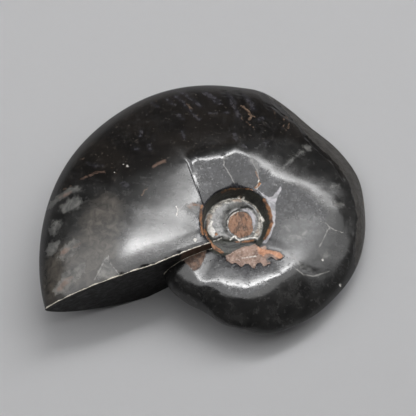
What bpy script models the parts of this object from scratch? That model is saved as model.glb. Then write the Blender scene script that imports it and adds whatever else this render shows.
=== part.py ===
"""A polished black ammonite: one coiled shell turned to stone, lying on its flank.

The shell is built in its own frame first: the median plane is z = 0, and the polar grid of the mesh has its
pole in the middle of the umbilicus, the round pit at the coil's centre. The turn of a point is its angle
back from the aperture, the shell's broken end. The outer whorl runs clockwise through turns 0 to 360
degrees, while its radius shrinks as a logarithmic spiral. Each row of the grid crosses the whorl from the
pole over the upper flank to the keel and back below, and the last row lies on the whorl inside the first.
The finished solid is tipped onto its lower flank and moved, so that the origin lies under the middle of its
bounding box, on the surface that it rests on. Metres, +Z up. Tables and helper functions work in mm.
"""

import math

import bmesh
import bpy
import numpy as np
from mathutils import Vector

MM = 0.001

# The keel, which is the outline of the median plane. Lengths in mm, angles in degrees
KEEL_START_RADIUS = 46.1
WHORL_EXPANSION = 2.41  # growth of the radius in one turn
SPIRAL_CENTRE = (1.5, -0.53)  # the spiral's own centre, from the umbilicus
TIP_ANGLE = 207.3  # where turn 0 lies, from +X towards +Y
# Where the keel departs from the spiral: turn, height of the bump and its width
KEEL_BUMPS = (
    (0.0, 0.5, 16.0),
    (69.0, -0.3, 16.0),
    (128.0, 0.5, 7.0),
    (152.0, -1.5, 14.0),
    (183.0, 0.5, 9.0),
    (242.0, -0.3, 10.0),
    (278.0, 0.7, 10.0),
    (315.0, -0.9, 9.0),
    (342.0, 0.7, 9.0),
)

# The first row lies at the aperture, and the last one a whole turn on
FIRST_TURN = 0.8
LAST_TURN = FIRST_TURN + 360.0

# The lines in plan that the grid's rows follow across the flank, by turn at the keel: how far the line
# passes from the pole at the umbilicus and further out, the radius beyond which the row is radial, and how
# much further out the line lies per mm below the median plane
PLAN_LINES = (
    (FIRST_TURN, 3.9, 5.85, 45.4, 0.07),
    (30.0, 4.7, 6.3, 30.0, 0.0),
    (60.0, 6.0, 6.4, 19.0, 0.0),
    (75.5, 6.4, 6.4, 15.8, 0.0),
    (105.0, -2.6, -2.6, 14.4, 0.0),
    (136.0, -3.2, -3.2, 13.1, 0.0),
    (180.0, -1.0, -1.0, 18.0, 0.0),
    (260.0, 0.0, 0.0, 14.4, 0.0),
    (326.0, 2.1, 2.1, 16.3, 0.0),
    (345.0, 3.3, 4.4, 24.0, 0.0),
    (LAST_TURN, 3.9, 5.85, 45.4, 0.07),
)
PLAN_INNER_RADIUS = 8.0
PLAN_OUTER_RADIUS = 22.0
SETTLING_STEPS = 12  # how often a grid point's turn and radius are worked out in turn

# The upper side, by turn: the shoulder's radius and height, the umbilical rim's height, and how far the
# shoulder is a crisp edge between two ground facets (1) or a soft arch (0), and how far a lip stands up on it
UPPER_STATIONS = (
    (-30.0, 21.0, 10.4, 8.3, 0.0, 0.0),
    (0.0, 21.0, 10.3, 8.3, 0.0, 0.0),
    (40.0, 20.0, 9.4, 8.1, 0.0, 0.0),
    (66.0, 17.5, 8.3, 7.8, 0.1, 0.0),
    (74.5, 16.0, 8.0, 7.7, 0.5, 0.0),
    (75.5, 15.8, 8.0, 7.7, 0.6, 0.35),
    (105.0, 14.4, 7.7, 7.1, 1.0, 0.3),
    (113.0, 15.2, 7.8, 6.9, 1.0, 0.3),
    (136.0, 13.1, 7.2, 6.6, 1.0, 0.2),
    (171.0, 16.0, 6.7, 6.2, 0.9, 0.1),
    (183.0, 19.3, 6.0, 6.1, 0.7, 0.0),
    (200.0, 20.5, 5.4, 6.0, 0.3, 0.0),
    (222.0, 17.6, 5.6, 5.7, 0.4, 0.0),
    (239.0, 15.1, 5.7, 5.4, 1.0, 0.1),
    (262.0, 14.4, 5.4, 5.1, 1.0, 0.2),
    (290.0, 16.2, 5.15, 4.75, 1.0, 0.25),
    (314.0, 16.1, 5.0, 4.6, 1.0, 0.25),
    (326.0, 16.3, 4.9, 4.5, 0.9, 0.25),
    (340.0, 14.2, 5.0, 4.4, 0.4, 0.0),
    (365.0, 13.0, 5.0, 4.3, 0.1, 0.0),
)
RIDGE_SLOPE = 0.45  # how steeply the outer flank leaves a crisp shoulder
LIP_SHARE = 0.22  # the share of the flank over which the lip on the shoulder runs out
FLANK_POWER = 0.75  # the lens shape of the whorl's section

# The band ground flat on the keel: its turns, how fast it fades at its ends, and its share of the flank
WORN_FROM = 128.0
WORN_TO = 200.0
WORN_RUN_OUT = 8.0
WORN_SHARE = 0.16

# The lower side, by turn: the shoulder's radius and height. It is a soft arch all round, a little fuller
# where it carries the shell
LOWER_STATIONS = (
    (0.0, 21.0, 10.3),
    (40.0, 19.5, 9.8),
    (70.0, 17.8, 8.7),
    (100.0, 16.0, 7.7),
    (150.0, 14.7, 6.3),
    (190.0, 14.0, 6.0),
    (220.0, 13.3, 6.2),
    (260.0, 12.4, 5.6),
    (300.0, 11.6, 5.0),
    (360.0, 10.4, 4.4),
)
LOWER_RIM_SHARE = 0.76  # the lower umbilical rim's height, as a share of the shoulder's

# The umbilicus
UMBILICUS_RADIUS = 7.5
UMBILICUS_BUMPS = ((342.0, 1.2, 35.0), (95.0, -0.5, 45.0))
WALL_WIDTH = 1.2
WALL_WIDTH_SWING = 0.4
WALL_WIDEST_TURN = 207.0
SEAM_HEIGHT = 3.3  # the seam at the foot of the wall, above the median plane
LOWER_SEAM_HEIGHT = 2.6
# The inner whorls in the pit: share of the seam's radius, height above the seam
PIT_STEPS = ((0.0, 0.25), (0.22, 0.3), (0.42, 0.15), (0.5, 0.55), (0.62, 0.45), (0.8, 0.5), (0.92, 0.75))

# The grid
ROW_STEP = 3.9  # degrees between rows, at most
WALL_SHARES = (0.5, 1.0)
FACET_SHARES = (0.12, 0.3, 0.5, 0.7, 0.86, 0.95, 1.0)
FLANK_SHARES = (0.04, 0.12, 0.25, 0.4, 0.55, 0.7, 0.84, 0.93, 0.98, 1.0)
LOWER_FACET_SHARES = (0.35, 0.7, 1.0)
FACE_ROWS = 5

# How the shell lies: the direction in its own frame that points straight up, and the depth of the flats
# that it is worn to where it touches the ground
UP_DIRECTION = (-0.1175, -0.035, 0.9924)
FLAT_DEPTH = 0.25 * MM
CUTTER_SIZE = 200 * MM

SHARP_ANGLE = math.radians(40)  # edges steeper than this are shaded as edges


def read_table(table, turn, column):
    """The value of a table's column at a turn, on straight lines between its stations."""
    turns = [row[0] for row in table]
    values = [row[column] for row in table]
    return float(np.interp(turn, turns, values))


def bump(apart, height, width):
    return height * math.exp(-((apart / width) ** 2))


def direction(turn):
    angle = math.radians(TIP_ANGLE - turn)
    return math.cos(angle), math.sin(angle)


def keel_radius(turn):
    along_x, along_y = direction(turn)
    spiral = KEEL_START_RADIUS * WHORL_EXPANSION ** (-turn / 360.0)
    shift = SPIRAL_CENTRE[0] * along_x + SPIRAL_CENTRE[1] * along_y
    departures = sum(bump(turn - centre, height, width) for centre, height, width in KEEL_BUMPS)
    return spiral + shift + departures


def rim_radius(turn):
    """The umbilicus is one closed ring, so its radius repeats after a whole turn."""
    radius = UMBILICUS_RADIUS
    for centre, height, width in UMBILICUS_BUMPS:
        apart = (turn - centre + 180.0) % 360.0 - 180.0
        radius += bump(apart, height, width)
    return radius


def seam_radius(turn):
    swing = math.cos(math.radians(turn - WALL_WIDEST_TURN))
    return rim_radius(turn) - WALL_WIDTH - WALL_WIDTH_SWING * swing


def plan_offset(row_turn, radius):
    inner = read_table(PLAN_LINES, row_turn, 1)
    outer = read_table(PLAN_LINES, row_turn, 2)
    share = (radius - PLAN_INNER_RADIUS) / (PLAN_OUTER_RADIUS - PLAN_INNER_RADIUS)
    return inner + (outer - inner) * min(share, 1.0)


def turn_at(row_turn, radius, height):
    """The turn of a row's point: the row follows its line in plan."""
    end = read_table(PLAN_LINES, row_turn, 3)
    lean = read_table(PLAN_LINES, row_turn, 4) * max(0.0, -height)
    if radius >= end:
        return row_turn
    radius = max(radius, PLAN_INNER_RADIUS)
    offset = plan_offset(row_turn, radius) + lean
    swing = math.asin(offset / radius) - math.asin(plan_offset(row_turn, end) / end)
    return row_turn - math.degrees(swing)


def worn_share(turn):
    """How much of the ground band there is at this turn, from 0 to 1, with short run-outs."""
    start = (turn - WORN_FROM) / WORN_RUN_OUT
    end = (WORN_TO - turn) / WORN_RUN_OUT
    return max(0.0, min(1.0, start, end))


def flank_fall(share, crisp, worn):
    """The height left at a share of the way from the shoulder to the keel."""
    slope = RIDGE_SLOPE * crisp
    full = (1.0 - slope * share - (1.0 - slope) * share * share) ** FLANK_POWER
    band = 1.0 - WORN_SHARE
    if worn == 0.0 or share <= band:
        return full
    edge = (1.0 - slope * band - (1.0 - slope) * band * band) ** FLANK_POWER
    flat = edge * (1.0 - share) / WORN_SHARE
    return full + (flat - full) * worn


def upper_wall(turn, share):
    rim = rim_radius(turn)
    seam = seam_radius(turn)
    rim_height = read_table(UPPER_STATIONS, turn, 3)
    return seam + (rim - seam) * share, SEAM_HEIGHT + (rim_height - SEAM_HEIGHT) * share


def upper_facet(turn, share):
    rim = rim_radius(turn)
    shoulder = read_table(UPPER_STATIONS, turn, 1)
    height = read_table(UPPER_STATIONS, turn, 2)
    rim_height = read_table(UPPER_STATIONS, turn, 3)
    crisp = read_table(UPPER_STATIONS, turn, 4)
    lip = read_table(UPPER_STATIONS, turn, 5)
    arch = share * (2.0 - share)
    rise = arch + (share - arch) * crisp
    return rim + (shoulder - rim) * share, rim_height + (height - rim_height) * rise + lip * share


def upper_flank(turn, share):
    shoulder = read_table(UPPER_STATIONS, turn, 1)
    height = read_table(UPPER_STATIONS, turn, 2)
    crisp = read_table(UPPER_STATIONS, turn, 4)
    fall = flank_fall(share, crisp, worn_share(turn))
    lip = read_table(UPPER_STATIONS, turn, 5) * max(0.0, 1.0 - share / LIP_SHARE) ** 2
    return shoulder + (keel_radius(turn) - shoulder) * share, height * fall + lip


def lower_flank(turn, share):
    shoulder = read_table(LOWER_STATIONS, turn, 1)
    height = read_table(LOWER_STATIONS, turn, 2)
    fall = flank_fall(share, 0.0, 0.0)
    return shoulder + (keel_radius(turn) - shoulder) * share, -height * fall


def lower_facet(turn, share):
    rim = rim_radius(turn)
    shoulder = read_table(LOWER_STATIONS, turn, 1)
    rise = share * (2.0 - share)
    height = read_table(LOWER_STATIONS, turn, 2) * (LOWER_RIM_SHARE + (1.0 - LOWER_RIM_SHARE) * rise)
    return rim + (shoulder - rim) * share, -height


def lower_wall(turn, share):
    rim = rim_radius(turn)
    seam = seam_radius(turn)
    rim_height = LOWER_RIM_SHARE * read_table(LOWER_STATIONS, turn, 2)
    return seam + (rim - seam) * share, -LOWER_SEAM_HEIGHT - (rim_height - LOWER_SEAM_HEIGHT) * share


def pit(turn, step, side):
    share, height = step
    seam_height = SEAM_HEIGHT if side > 0 else LOWER_SEAM_HEIGHT
    return seam_radius(turn) * share, side * (seam_height + height)


def grid_columns():
    """Each column across the whorl: a name for its zone, and a function from turn to radius and height."""
    columns = []
    for step in PIT_STEPS[1:]:
        columns.append(("pit", lambda turn, step=step: pit(turn, step, 1)))
    columns.append(("pit", lambda turn: upper_wall(turn, 0.0)))
    for share in WALL_SHARES:
        columns.append(("whorl", lambda turn, share=share: upper_wall(turn, share)))
    for share in FACET_SHARES:
        columns.append(("whorl", lambda turn, share=share: upper_facet(turn, share)))
    for share in FLANK_SHARES:
        columns.append(("whorl", lambda turn, share=share: upper_flank(turn, share)))
    for share in reversed((0.0,) + FLANK_SHARES[:-1]):
        columns.append(("whorl", lambda turn, share=share: lower_flank(turn, share)))
    for share in reversed(LOWER_FACET_SHARES[:-1]):
        columns.append(("whorl", lambda turn, share=share: lower_facet(turn, share)))
    for share in reversed(WALL_SHARES):
        columns.append(("whorl", lambda turn, share=share: lower_wall(turn, share)))
    columns.append(("pit", lambda turn: lower_wall(turn, 0.0)))
    for step in reversed(PIT_STEPS[1:]):
        columns.append(("pit", lambda turn, step=step: pit(turn, step, -1)))
    return columns


def grid_point(row_turn, place):
    """A row's point in one column: its turn and its radius are settled together."""
    turn = row_turn
    for _ in range(SETTLING_STEPS):
        radius, height = place(turn)
        turn = turn_at(row_turn, radius, height)
    along_x, along_y = direction(turn)
    return Vector((radius * along_x, radius * along_y, height)) * MM


def row_turns():
    """Evenly spaced rows, with one on every station of the upper side."""
    stations = [row[0] for row in UPPER_STATIONS if FIRST_TURN < row[0] < LAST_TURN]
    stops = [FIRST_TURN] + stations + [LAST_TURN]
    turns = [FIRST_TURN]
    for start, end in zip(stops, stops[1:]):
        steps = max(1, math.ceil((end - start) / ROW_STEP))
        turns += [start + (end - start) * (i + 1) / steps for i in range(steps)]
    return turns


def shell_mesh():
    """The whole shell as one closed surface."""
    bm = bmesh.new()
    columns = grid_columns()
    turns = row_turns()
    top = bm.verts.new(Vector((0.0, 0.0, SEAM_HEIGHT + PIT_STEPS[0][1])) * MM)
    bottom = bm.verts.new(Vector((0.0, 0.0, -LOWER_SEAM_HEIGHT - PIT_STEPS[0][1])) * MM)
    rows = []
    for turn in turns:
        rows.append([bm.verts.new(grid_point(turn, place)) for _, place in columns])
    # The pit's floor closes round on itself, so the last row takes the first row's points there
    for j, (zone, _) in enumerate(columns):
        if zone == "pit":
            bm.verts.remove(rows[-1][j])
            rows[-1][j] = rows[0][j]
    for row, following in zip(rows, rows[1:]):
        bm.faces.new((top, row[0], following[0]))
        bm.faces.new((bottom, following[-1], row[-1]))
        for j in range(len(columns) - 1):
            bm.faces.new((row[j], row[j + 1], following[j + 1], following[j]))
    add_aperture_face(bm, columns, rows[0], rows[-1])
    bmesh.ops.recalc_face_normals(bm, faces=bm.faces)
    return bm


def add_aperture_face(bm, columns, outer, inner):
    """The broken end: a wall from the outer whorl's rim to the whorl inside it."""
    whorl = [j for j, (zone, _) in enumerate(columns) if zone == "whorl"]
    first, last = whorl[0], whorl[-1]
    lines = [outer[first : last + 1]]
    for k in range(1, FACE_ROWS):
        share = k / FACE_ROWS
        lines.append([bm.verts.new(outer[j].co.lerp(inner[j].co, share)) for j in whorl])
    lines.append(inner[first : last + 1])
    for line, following in zip(lines, lines[1:]):
        bm.faces.new((outer[first - 1], following[0], line[0]))
        bm.faces.new((outer[last + 1], line[-1], following[-1]))
        for j in range(len(whorl) - 1):
            bm.faces.new((line[j], following[j], following[j + 1], line[j + 1]))


def stone_material():
    material = bpy.data.materials.new("black polished stone")
    material.use_nodes = True
    shader = material.node_tree.nodes["Principled BSDF"]
    shader.inputs["Base Color"].default_value = (0.022, 0.021, 0.021, 1.0)
    shader.inputs["Roughness"].default_value = 0.22
    shader.inputs["Metallic"].default_value = 0.0
    return material


def lay_down(bm):
    """Tips the shell onto its lower flank and moves it over the origin."""
    turning = Vector(UP_DIRECTION).rotation_difference(Vector((0, 0, 1)))
    bmesh.ops.rotate(bm, verts=bm.verts, cent=(0, 0, 0), matrix=turning.to_matrix())
    lowest = min(v.co.z for v in bm.verts)
    middle_x = (min(v.co.x for v in bm.verts) + max(v.co.x for v in bm.verts)) / 2
    middle_y = (min(v.co.y for v in bm.verts) + max(v.co.y for v in bm.verts)) / 2
    bmesh.ops.translate(bm, verts=bm.verts, vec=(-middle_x, -middle_y, -lowest - FLAT_DEPTH))


def ground_cutter():
    """A block whose top is the ground: it takes off what reaches lower, and leaves the resting flats."""
    bpy.ops.mesh.primitive_cube_add(size=CUTTER_SIZE, location=(0, 0, -CUTTER_SIZE / 2))
    cutter = bpy.context.object
    cutter.name = "ground_cutter"
    cutter.hide_render = True
    cutter.display_type = "WIRE"
    return cutter


def main():
    for obj in list(bpy.data.objects):
        bpy.data.objects.remove(obj)
    bm = shell_mesh()
    lay_down(bm)
    mesh = bpy.data.meshes.new("ammonite")
    bm.to_mesh(mesh)
    bm.free()
    mesh.materials.append(stone_material())
    mesh.shade_smooth()
    mesh.set_sharp_from_angle(angle=SHARP_ANGLE)
    shell = bpy.data.objects.new("ammonite", mesh)
    bpy.context.scene.collection.objects.link(shell)
    flats = shell.modifiers.new("resting flats", "BOOLEAN")
    flats.operation = "DIFFERENCE"
    flats.object = ground_cutter()
    flats.solver = "EXACT"


main()
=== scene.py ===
"""The looks of a polished black ammonite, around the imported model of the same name.

The shell is modelled again, finely, from the same dimensions as the solid, and stands for it. As in the
solid's source, the shell has a frame of its own: the median plane is z = 0, the pole of the polar grid lies
in the middle of the umbilicus, and a point's turn is its angle back from the aperture. Lengths are in mm
where nothing else is said, and marks lie at plan coordinates (x, y) in the shell's frame. The finished mesh
is tipped and moved into the row frame in metres.
"""

import math

import bpy
import numpy as np
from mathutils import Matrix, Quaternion, Vector, noise


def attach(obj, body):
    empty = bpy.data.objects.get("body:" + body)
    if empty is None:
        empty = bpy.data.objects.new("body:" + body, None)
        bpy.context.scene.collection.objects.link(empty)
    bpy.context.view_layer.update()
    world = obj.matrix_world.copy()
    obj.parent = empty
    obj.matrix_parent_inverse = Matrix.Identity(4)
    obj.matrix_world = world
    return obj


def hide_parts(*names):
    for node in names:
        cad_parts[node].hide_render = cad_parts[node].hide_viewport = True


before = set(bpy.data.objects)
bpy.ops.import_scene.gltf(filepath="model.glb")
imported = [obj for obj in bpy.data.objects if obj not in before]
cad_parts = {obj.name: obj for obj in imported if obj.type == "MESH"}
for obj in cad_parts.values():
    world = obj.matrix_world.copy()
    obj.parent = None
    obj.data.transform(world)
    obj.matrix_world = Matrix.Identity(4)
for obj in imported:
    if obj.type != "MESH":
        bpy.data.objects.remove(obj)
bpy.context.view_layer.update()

MM = 0.001

# ---- the shell's dimensions, as in the solid

KEEL_START_RADIUS = 46.1
WHORL_EXPANSION = 2.41
SPIRAL_CENTRE = (1.5, -0.53)
TIP_ANGLE = 207.3
KEEL_BUMPS = (
    (0, 0.5, 16), (69, -0.3, 16), (128, 0.5, 7), (152, -1.5, 14), (183, 0.5, 9), (242, -0.3, 10),
    (278, 0.7, 10), (315, -0.9, 9), (342, 0.7, 9),
)
FIRST_TURN = 0.8
LAST_TURN = FIRST_TURN + 360
# Lines in plan that the grid's rows follow: turn, offset from the pole at the umbilicus and further out,
# the radius beyond which the row is radial, and the lean below the median plane
PLAN_LINES = (
    (FIRST_TURN, 3.9, 5.85, 45.4, 0.07), (30, 4.7, 6.3, 30, 0), (60, 6, 6.4, 19, 0),
    (75.5, 6.9, 6.9, 15.9, 0), (105, -2.6, -2.6, 14.4, 0), (136, -3.2, -3.2, 13.1, 0), (180, -1, -1, 18, 0),
    (260, 0, 0, 14.4, 0), (326, 2.1, 2.1, 16.3, 0), (345, 3.3, 4.4, 24, 0),
    (LAST_TURN, 3.9, 5.85, 45.4, 0.07),
)
PLAN_INNER_RADIUS = 8
PLAN_OUTER_RADIUS = 22
SETTLING_STEPS = 12
# The upper side: turn, shoulder radius and height, rim height, how crisp the shoulder is
UPPER_STATIONS = (
    (-30, 21, 9.8, 8.1, 0), (0, 21, 10.26, 8.25, 0), (4, 21, 10.29, 8.31, 0), (8, 21, 10.25, 8.3, 0),
    (12, 20.8, 10.17, 8.3, 0), (16, 20.6, 10.07, 8.28, 0), (20, 20.4, 9.96, 8.26, 0),
    (30, 19.4, 9.67, 8.2, 0), (40, 18.3, 9.3, 8.1, 0), (50, 17.4, 8.92, 8, 0), (60, 16.7, 8.55, 7.9, 0.15),
    (66, 16.4, 8.32, 7.8, 0.3), (74.5, 16.1, 8, 7.7, 0.5), (77.3, 16.5, 8, 7.67, 0.7),
    (82, 16.4, 7.95, 7.58, 0.9), (89, 15.4, 7.85, 7.42, 1), (97, 14.9, 7.78, 7.22, 1),
    (105, 14.8, 7.7, 7.05, 1), (114, 15.6, 7.8, 6.88, 1), (120, 15.1, 7.65, 6.72, 1),
    (126, 14.4, 7.45, 6.6, 1.05), (133, 13.5, 7.3, 6.5, 1.15), (140, 13.1, 7.17, 6.45, 1.3),
    (150, 13, 7.03, 6.4, 1.4), (163, 13.6, 6.87, 6.3, 1.4), (171, 14.5, 6.68, 6.2, 1.3),
    (183, 16.9, 6.15, 6.1, 1.1), (200, 20.5, 5.5, 6, 0.6), (222, 17.8, 5.5, 5.6, 0.4),
    (232, 16.9, 5.5, 5.35, 0.6), (240, 16.5, 5.65, 4.7, 0.9), (248, 16.1, 5.6, 4.35, 0.8),
    (258, 15.7, 5.45, 4.15, 0.7), (266, 15.5, 5.4, 4.08, 0.55), (276, 15.9, 5.3, 4, 0.35),
    (284, 16.5, 5.25, 3.95, 0.25), (291.5, 17.5, 5.15, 3.9, 0.2), (299, 17.1, 5.1, 3.9, 0.3),
    (308, 16.6, 5.05, 3.9, 0.4), (318, 16.1, 5, 3.85, 0.55), (326, 16.6, 4.95, 3.82, 0.7),
    (340, 14.2, 4.87, 3.85, 0.4), (365, 13, 4.87, 3.95, 0.1),
)
# The lip that the polish left on the shoulder: turn, height. It starts at the fold with a step
LIP_STATIONS = (
    (73.4, 0), (74.2, -0.07), (74.8, -0.04), (76.8, 0.4), (77.4, 0.42), (95, 0.38), (113, 0.38), (125, 0.28),
    (136, 0.08), (150, 0), (239, 0.05), (262, 0.12), (276, 0.12), (310, 0.12), (326, 0.12), (340, 0),
)
# The rim of the umbilicus drops at the fold: turn, height
RIM_DROP = ((74.8, 0), (76.4, -0.45), (82, -0.4), (90, -0.3), (110, -0.2), (126, 0))
LIP_REACH = ((78, 90), (1, 2.4))  # how far down the flank the lip falls, mm, at these turns
RIDGE_SLOPE = 0.45
FLANK_POWER = 0.75
WORN_FROM = 128
WORN_TO = 200
WORN_RUN_OUT = 8
WORN_SHARE = 0.16
LOWER_STATIONS = (
    (0, 21, 10.3), (40, 19.5, 9.8), (70, 17.8, 8.7), (100, 16, 7.7), (150, 14.7, 6.3), (190, 14, 6),
    (220, 13.3, 6.2), (260, 12.4, 5.6), (300, 11.6, 5), (360, 10.4, 4.4),
)
LOWER_RIM_SHARE = 0.76
UMBILICUS_RADIUS = 7.5
UMBILICUS_BUMPS = ((342, 1.2, 35), (95, -0.5, 45))
WALL_WIDTH = 1.2
WALL_WIDTH_SWING = 0.4
WALL_WIDEST_TURN = 207
SEAM_HEIGHT = 3.3
LOWER_SEAM_HEIGHT = 2.6
UP_DIRECTION = (-0.1175, -0.035, 0.9924)
FLAT_DEPTH = 0.25

# ---- the fine grid

ROW_STEP = 1  # degrees
FOLD_TURN = 75.4
FOLD_ROWS = np.arange(-2.8, 2.81, 0.35)  # the rows beside the fold, from its turn
# The grid's columns: umbilicus, wall, facet and flank, and back again below
COLUMNS = (28, 9, 36, 84, 46, 9, 4, 12)
FLANK_CROWDING = 0.07  # how much closer together a flank's columns lie at its edges
FACE_ROWS = 16
TABLE_BLUR = ((-2.4, 0.12), (-1.2, 0.23), (0, 0.3), (1.2, 0.23), (2.4, 0.12))  # shifts in degrees, weights
RIM_PASSES = 2  # how often every profile is evened out
# How far the polish rounded the shoulder: turn, mm
ROUNDING_STATIONS = (
    (70, 0.7), (82, 0.8), (90, 1.1), (113, 1.2), (125, 1.6), (135, 1.9), (150, 2.2), (175, 2.6), (190, 3.2),
    (222, 2.6), (238, 1), (262, 0.8), (276, 1.6), (292, 2.6), (310, 1.9), (322, 0.7), (340, 1.2),
)
ROUNDING_SAMPLES = np.linspace(-2.4, 2.4, 17)  # in roundings either way
ROUNDING_REACH = 3.2  # how far it acts, in roundings
ROUNDING_FULL = 0.45  # the share of that with full effect
SHARP_ANGLE = 50  # degrees; steeper edges are shaded as edges

# ---- the forms in the umbilicus

# The crest that bounds the inner whorls: turn, radius
CREST_LINE = (
    (-13, 5.75), (1.3, 5.92), (25, 6.3), (49, 6.34), (75, 5.85), (95, 5.52), (125, 5.56), (160, 6.44),
    (187, 6.43), (203, 6.2), (220, 6.2), (241, 5.9), (258, 4.4), (274, 3.85), (297, 3), (318, 3.64),
    (340, 4.5), (347, 5.75),
)
CREST_MIDDLE = 167  # the turn in its middle
CORE_CENTRE = (1.3, 0.1)  # of the innermost whorls and of the groove round them
CORE_RADIUS = (3.35, 3.5)


def read_table(table, turn):
    """The table's values at a turn."""
    turns, *columns = zip(*table)
    return [np.interp(turn, turns, column) for column in columns]


def read_smooth(table, turn):
    """The table's values at a turn, with its corners rounded over a few degrees."""
    return sum(weight * np.array(read_table(table, turn + shift)) for shift, weight in TABLE_BLUR)


def smooth_step(low, high, value):
    share = np.clip((value - low) / (high - low), 0, 1)
    return share * share * (3 - 2 * share)


def between(a, b, share):
    return a + (b - a) * share


def bump(apart, height, width):
    return height * np.exp(-((apart / width) ** 2))


def around(turn, centre):
    """How far a turn is from another, the short way round."""
    return (turn - centre + 180) % 360 - 180


def direction(turn):
    angle = np.radians(TIP_ANGLE - turn)
    return np.cos(angle), np.sin(angle)


def keel_radius(turn):
    along_x, along_y = direction(turn)
    spiral = KEEL_START_RADIUS * WHORL_EXPANSION ** (-turn / 360)
    shift = SPIRAL_CENTRE[0] * along_x + SPIRAL_CENTRE[1] * along_y
    return spiral + shift + sum(bump(turn - centre, height, width) for centre, height, width in KEEL_BUMPS)


def rim_radius(turn):
    bumps = [bump(around(turn, centre), height, width) for centre, height, width in UMBILICUS_BUMPS]
    return UMBILICUS_RADIUS + sum(bumps)


def seam_radius(turn):
    swing = np.cos(np.radians(turn - WALL_WIDEST_TURN))
    return rim_radius(turn) - WALL_WIDTH - WALL_WIDTH_SWING * swing


def crest_radius(turn):
    return read_table(CREST_LINE, around(turn, CREST_MIDDLE) + CREST_MIDDLE)[0]


def plan_offset(row_turn, radius):
    inner, outer, *_ = read_table(PLAN_LINES, row_turn)
    share = (radius - PLAN_INNER_RADIUS) / (PLAN_OUTER_RADIUS - PLAN_INNER_RADIUS)
    return between(inner, outer, np.minimum(share, 1))


def turn_at(row_turn, radius, height):
    """The turn of a row's points: each row follows its line in plan."""
    *_, end, lean = read_table(PLAN_LINES, row_turn)
    held = np.maximum(radius, PLAN_INNER_RADIUS)
    offset = plan_offset(row_turn, held) + lean * np.maximum(0, -height)
    swing = np.arcsin(offset / held) - np.arcsin(plan_offset(row_turn, end) / end)
    return row_turn - np.where(radius >= end, 0, np.degrees(swing))


def worn_share(turn):
    return np.clip(np.minimum(turn - WORN_FROM, WORN_TO - turn) / WORN_RUN_OUT, 0, 1)


def flank_curve(share, slope):
    return np.maximum(1 - slope * share - (1 - slope) * share * share, 0) ** FLANK_POWER


def flank_fall(share, crisp, worn):
    slope = RIDGE_SLOPE * crisp
    full = flank_curve(share, slope)
    band = 1 - WORN_SHARE
    flat = flank_curve(band, slope) * (1 - share) / WORN_SHARE
    return np.where(share > band, between(full, flat, worn), full)


def pit_height(turn, radius):
    """The inner whorls: a tube that falls from its crest to the seams on both sides, and the core."""
    apart = radius - crest_radius(turn)
    along_x, along_y = direction(turn)
    core_x = (radius * along_x - CORE_CENTRE[0]) / CORE_RADIUS[0]
    core_y = (radius * along_y - CORE_CENTRE[1]) / CORE_RADIUS[1]
    core = np.hypot(core_x, core_y)
    outside = (core - 1) * CORE_RADIUS[0]
    tube = 0.25 + 0.5 * smooth_step(-0.3, 1.5, outside) - 0.7 * smooth_step(0, 1.1, apart)
    dome = 0.62 - 0.3 * core**4
    groove = bump(outside, 0.22, 0.3)
    return np.where(core < 1, dome, tube) - groove


# The place functions: radius and height of a block's points, by turn and by share of its width


def upper_pit(turn, share):
    radius = seam_radius(turn) * share
    return radius, SEAM_HEIGHT + pit_height(turn, radius) * (1 - smooth_step(0.9, 1, share))


def upper_wall(turn, share):
    seam = seam_radius(turn)
    rim_height = read_smooth(UPPER_STATIONS, turn)[2]
    return between(seam, rim_radius(turn), share), between(SEAM_HEIGHT, rim_height, share)


def upper_facet(turn, share):
    rim = rim_radius(turn)
    shoulder, height, rim_height, crisp = read_smooth(UPPER_STATIONS, turn)
    arch = share * (2 - share)
    return between(rim, shoulder, share), between(rim_height, height, between(arch, share, crisp))


def upper_flank(turn, share):
    shoulder, height, _, crisp = read_smooth(UPPER_STATIONS, turn)
    fall = flank_fall(share, crisp, worn_share(turn))
    return between(shoulder, keel_radius(turn), share), height * fall


def lower_flank(turn, share):
    shoulder, height = read_smooth(LOWER_STATIONS, turn)
    return between(shoulder, keel_radius(turn), share), -height * flank_fall(share, 0, 0)


def lower_facet(turn, share):
    rim = rim_radius(turn)
    shoulder, height = read_smooth(LOWER_STATIONS, turn)
    rise = share * (2 - share)
    return between(rim, shoulder, share), -height * between(LOWER_RIM_SHARE, 1, rise)


def lower_wall(turn, share):
    seam = seam_radius(turn)
    drop = LOWER_RIM_SHARE * read_smooth(LOWER_STATIONS, turn)[1] - LOWER_SEAM_HEIGHT
    return between(seam, rim_radius(turn), share), -LOWER_SEAM_HEIGHT - drop * share


def lower_pit(turn, share):
    radius = seam_radius(turn) * share
    return radius, -LOWER_SEAM_HEIGHT - pit_height(turn, radius) * (1 - smooth_step(0.8, 1, share))


def even(count):
    return np.arange(1, count + 1) / count


def flank_shares(count):
    """Shares across a flank, closer together at the shoulder and at the keel."""
    return even(count) - FLANK_CROWDING * np.sin(2 * np.pi * even(count))


def grid_blocks():
    """The grid's columns from the upper pole to the lower one: place function, shares."""
    pit, wall, facet, flank, low_flank, low_facet, low_wall, low_pit = COLUMNS
    return (
        (upper_pit, even(pit)),
        (upper_wall, even(wall)),
        (upper_facet, even(facet)),
        (upper_flank, flank_shares(flank)),
        (lower_flank, np.append(flank_shares(low_flank)[-2::-1], 0)),
        (lower_facet, even(low_facet)[-2::-1]),
        (lower_wall, even(low_wall)[::-1]),
        (lower_pit, even(low_pit)[::-1]),
    )


def row_turns():
    steps = round((LAST_TURN - FIRST_TURN) / ROW_STEP)
    turns = FIRST_TURN + (LAST_TURN - FIRST_TURN) * np.arange(steps + 1) / steps
    turns = turns[np.abs(turns - FOLD_TURN) > FOLD_ROWS[-1]]
    return np.sort(np.concatenate((turns, FOLD_TURN + FOLD_ROWS)))


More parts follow.
